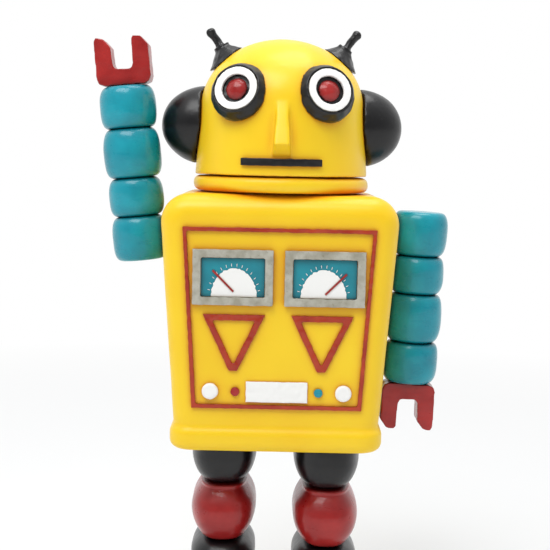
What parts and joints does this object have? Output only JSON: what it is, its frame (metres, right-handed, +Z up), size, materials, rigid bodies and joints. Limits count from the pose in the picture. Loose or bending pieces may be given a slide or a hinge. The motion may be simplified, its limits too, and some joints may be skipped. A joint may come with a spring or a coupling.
{
  "type": "wind-up walking robot",
  "caption": "Boxy wind-up walking robot with a domed head, gauge panel, beaded arms with claws, beaded legs and a winding key in its back.",
  "frame": {"origin": "on the floor, midway between the two feet and under the neck's axis", "axes": "+Z up, -Y the way the robot faces, +X towards the robot's left hand"},
  "size_m": [0.1417, 0.105, 0.2492],
  "materials": {
    "yellow_shell": "gloss",
    "black_trim": "satin",
    "red_paint": "gloss, brushed on by hand",
    "teal_paint": "gloss, brushed on by hand",
    "white_paint": "gloss",
    "silver_paint": "satin silver paint",
    "dial_teal": "satin",
    "steel": "satin",
    "brass": "satin",
    "spring_steel": "blued"
  },
  "bodies": {
    "torso": {"torso_front_shell": "yellow_shell", "torso_back_shell": "yellow_shell", "base_plate": "steel", "body_screws": "steel", "panel_border": "red_paint", "gauge_frames": "silver_paint", "gauge_dials": "dial_teal", "gauge_needles": "red_paint", "chest_triangles": "red_paint", "white_buttons": "white_paint", "red_stud": "red_paint", "teal_stud": "teal_paint", "label_plate": "white_paint", "motor_plates": "steel", "motor_pillars": "steel", "walking_frame": "steel", "mainspring": "spring_steel"},
    "head": {"head_shell": "yellow_shell", "neck_collar": "yellow_shell", "neck_clip": "steel", "eye_cups": "black_trim", "eye_rings": "white_paint", "eye_lenses": "red_paint", "ears": "black_trim", "antennae": "black_trim", "mouth_bar": "black_trim"},
    "upper_crank": {"upper_crankshaft": "steel", "upper_crank_gear": "brass"},
    "lower_crank": {"lower_crankshaft": "steel", "lower_crank_gear": "brass"},
    "idler": {"idler_gear": "brass"},
    "crown": {"crown_wheel": "brass", "crown_arbor": "steel", "second_wheel": "brass"},
    "key_train": {"great_wheel": "brass", "key_arbor": "steel", "winding_key": "steel"},
    "governor": {"governor_fly": "brass"},
    "right_arm": {"right_arm_core": "steel", "right_arm_bead_1": "teal_paint", "right_arm_bead_2": "teal_paint", "right_arm_bead_3": "teal_paint", "right_arm_bead_4": "teal_paint"},
    "right_claw": {"right_claw": "red_paint"},
    "right_leg": {"right_leg_hanger": "steel", "right_hip_bead": "black_trim", "right_thigh_bead": "red_paint", "right_knee_bead": "black_trim", "right_foot": "red_paint"},
    "left_arm": {"left_arm_core": "steel", "left_arm_bead_1": "teal_paint", "left_arm_bead_2": "teal_paint", "left_arm_bead_3": "teal_paint", "left_arm_bead_4": "teal_paint"},
    "left_claw": {"left_claw": "red_paint"},
    "left_leg": {"left_leg_hanger": "steel", "left_hip_bead": "black_trim", "left_thigh_bead": "red_paint", "left_knee_bead": "black_trim", "left_foot": "red_paint"}
  },
  "joints": [
    {"name": "head_turn", "type": "hinge", "parent": "torso", "child": "head", "pos_m": [0, 0, 0.188], "axis": [0, 0, 1], "continuous": true},
    {"name": "right_shoulder", "type": "hinge", "parent": "torso", "child": "right_arm", "pos_m": [-0.056, 0, 0.1677], "axis": [-0.9973, 0, -0.0732], "continuous": true},
    {"name": "right_wrist", "type": "hinge", "parent": "right_arm", "child": "right_claw", "pos_m": [-0.06188, 0, 0.22555], "axis": [-0.1011, 0, 0.9949], "continuous": true},
    {"name": "left_shoulder", "type": "hinge", "parent": "torso", "child": "left_arm", "pos_m": [0.056, 0, 0.1677], "axis": [-0.9973, 0, 0.0732], "continuous": true},
    {"name": "left_wrist", "type": "hinge", "parent": "left_arm", "child": "left_claw", "pos_m": [0.05336, 0, 0.10961], "axis": [-0.0454, 0, -0.999], "continuous": true},
    {"name": "walk_crank", "type": "hinge", "parent": "torso", "child": "upper_crank", "pos_m": [0, 0, 0.132], "axis": [1, 0, 0], "continuous": true},
    {"name": "lower_crank_turn", "type": "hinge", "parent": "torso", "child": "lower_crank", "pos_m": [0, 0, 0.1064], "axis": [1, 0, 0], "continuous": true},
    {"name": "idler_turn", "type": "hinge", "parent": "torso", "child": "idler", "pos_m": [-0.0131, 0, 0.1192], "axis": [1, 0, 0], "continuous": true},
    {"name": "right_leg_pivot", "type": "hinge", "parent": "upper_crank", "child": "right_leg", "pos_m": [-0.0192, 0.003, 0.132], "axis": [1, 0, 0], "continuous": true},
    {"name": "left_leg_pivot", "type": "hinge", "parent": "upper_crank", "child": "left_leg", "pos_m": [0.0192, -0.003, 0.132], "axis": [1, 0, 0], "continuous": true},
    {"name": "crown_turn", "type": "hinge", "parent": "torso", "child": "crown", "pos_m": [0, 0.0065, 0.132], "axis": [0, 1, 0], "continuous": true},
    {"name": "key_turn", "type": "hinge", "parent": "torso", "child": "key_train", "pos_m": [0, 0.03, 0.156], "axis": [0, 1, 0], "continuous": true, "deforming": ["mainspring"]},
    {"name": "governor_turn", "type": "hinge", "parent": "torso", "child": "governor", "pos_m": [-0.00976, 0.018, 0.12224], "axis": [0, 1, 0], "continuous": true}
  ],
  "couplings": [
    {"joint": "lower_crank_turn", "follows": "walk_crank", "ratio": 1},
    {"joint": "idler_turn", "follows": "walk_crank", "ratio": -1},
    {"joint": "right_leg_pivot", "follows": "walk_crank", "ratio": -1},
    {"joint": "left_leg_pivot", "follows": "walk_crank", "ratio": -1},
    {"joint": "crown_turn", "follows": "walk_crank", "ratio": -0.42857},
    {"joint": "key_turn", "follows": "walk_crank", "ratio": 0.10714},
    {"joint": "governor_turn", "follows": "walk_crank", "ratio": 1.5429}
  ]
}
